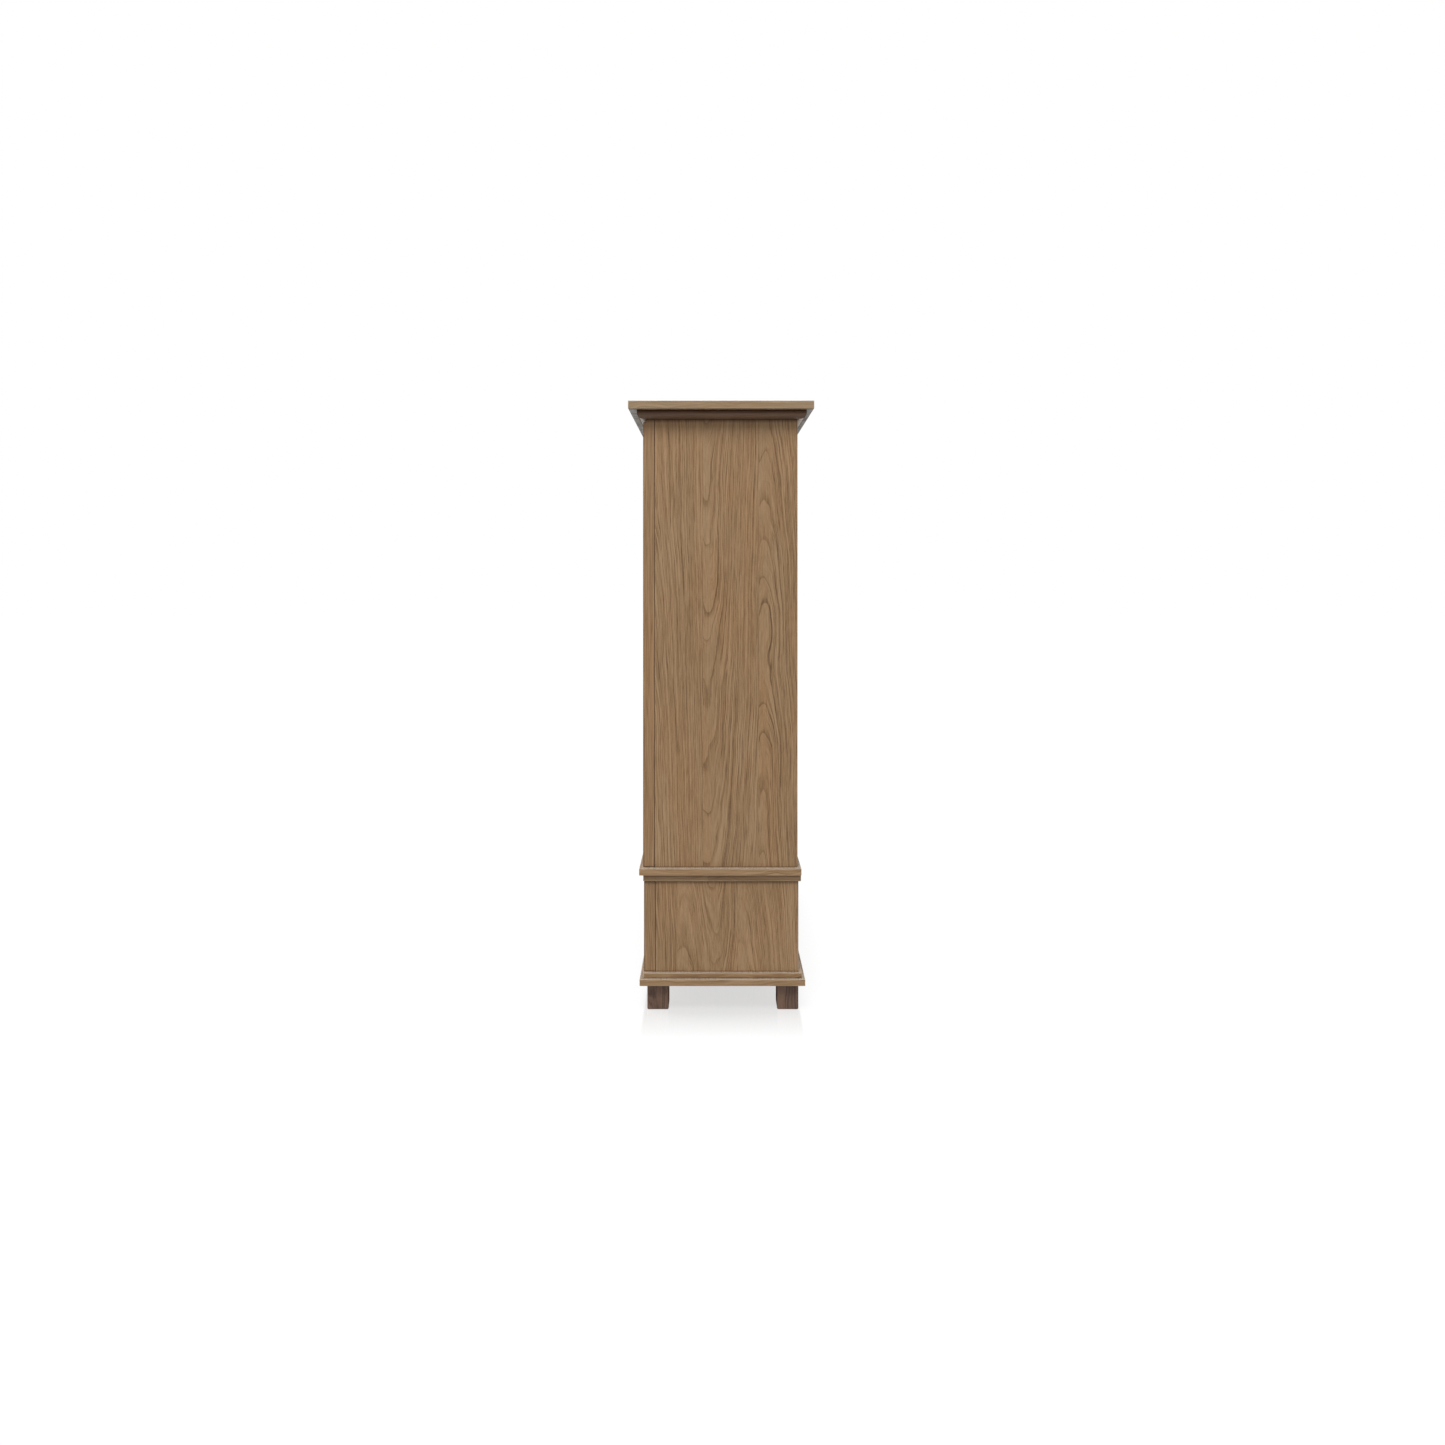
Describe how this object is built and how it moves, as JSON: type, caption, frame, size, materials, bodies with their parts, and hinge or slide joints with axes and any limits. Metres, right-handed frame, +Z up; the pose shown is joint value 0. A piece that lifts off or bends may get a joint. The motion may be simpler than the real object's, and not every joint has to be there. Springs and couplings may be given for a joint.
{
  "type": "pantry cabinet",
  "caption": "Tall free-standing ash pantry cabinet: framed doors on butt hinges over shelves, a wide drawer below, a cornice under an overhanging top, stepped base boards and square feet.",
  "frame": {"origin": "on the floor, under the centre of the overall bounding box, which is the centre of the top slab", "axes": "+X to the cabinet's right-hand end as seen from the front, -Y the front with the doors, +Z up"},
  "size_m": [1.22, 0.61, 2.016],
  "materials": {
    "ash": "satin lacquer on brown-stained ash veneer",
    "dark_ash": "satin, darker reddish brown",
    "pale_wood": "clear satin, inside surfaces",
    "bronze": "dark bronze, satin",
    "steel": "brushed"
  },
  "bodies": {
    "cabinet": {"base_slab": "ash", "base_step": "ash", "cornice_back": "ash", "cornice_front": "ash", "cornice_left": "ash", "cornice_right": "ash", "door_catch": "steel", "drawer_runner_left": "pale_wood", "drawer_runner_right": "pale_wood", "foot_back_left": "dark_ash", "foot_back_right": "dark_ash", "foot_front_left": "dark_ash", "foot_front_right": "dark_ash", "hinge_left_lower_frame_leaf": "bronze", "hinge_left_upper_frame_leaf": "bronze", "hinge_right_lower_frame_leaf": "bronze", "hinge_right_upper_frame_leaf": "bronze", "lower_back_panel": "pale_wood", "lower_post_left": "ash", "lower_post_right": "ash", "lower_side_left": "ash", "lower_side_right": "ash", "lower_top_board": "ash", "shelf_1": "pale_wood", "shelf_2": "pale_wood", "shelf_3": "pale_wood", "top_slab": "ash", "upper_back_panel": "pale_wood", "upper_post_left": "ash", "upper_post_right": "ash", "upper_side_left": "ash", "upper_side_right": "ash", "upper_top_rail": "ash", "waist_slab": "ash"},
    "door_left": {"door_left_bottom_rail": "ash", "door_left_hinge_stile": "ash", "door_left_knob": "bronze", "door_left_lower_panel": "ash", "door_left_meeting_stile": "ash", "door_left_middle_rail": "ash", "door_left_top_rail": "ash", "door_left_upper_panel": "ash", "hinge_left_lower_door_leaf": "bronze", "hinge_left_upper_door_leaf": "bronze"},
    "door_right": {"door_right_bottom_rail": "ash", "door_right_hinge_stile": "ash", "door_right_knob": "bronze", "door_right_lower_panel": "ash", "door_right_meeting_stile": "ash", "door_right_middle_rail": "ash", "door_right_top_rail": "ash", "door_right_upper_panel": "ash", "hinge_right_lower_door_leaf": "bronze", "hinge_right_upper_door_leaf": "bronze"},
    "drawer": {"drawer_back": "pale_wood", "drawer_bottom": "pale_wood", "drawer_front": "ash", "drawer_pull": "bronze", "drawer_side_left": "pale_wood", "drawer_side_right": "pale_wood"}
  },
  "joints": [
    {"name": "door_left_hinge", "type": "hinge", "parent": "cabinet", "child": "door_left", "pos_m": [-0.5104, -0.2543, 0.477], "axis": [0, 0, -1], "range_deg": [0, 150]},
    {"name": "door_right_hinge", "type": "hinge", "parent": "cabinet", "child": "door_right", "pos_m": [0.5104, -0.2543, 0.477], "axis": [0, 0, 1], "range_deg": [0, 150]},
    {"name": "drawer_slide", "type": "slide", "parent": "cabinet", "child": "drawer", "axis": [0, -1, 0], "range_m": [0, 0.37]}
  ]
}
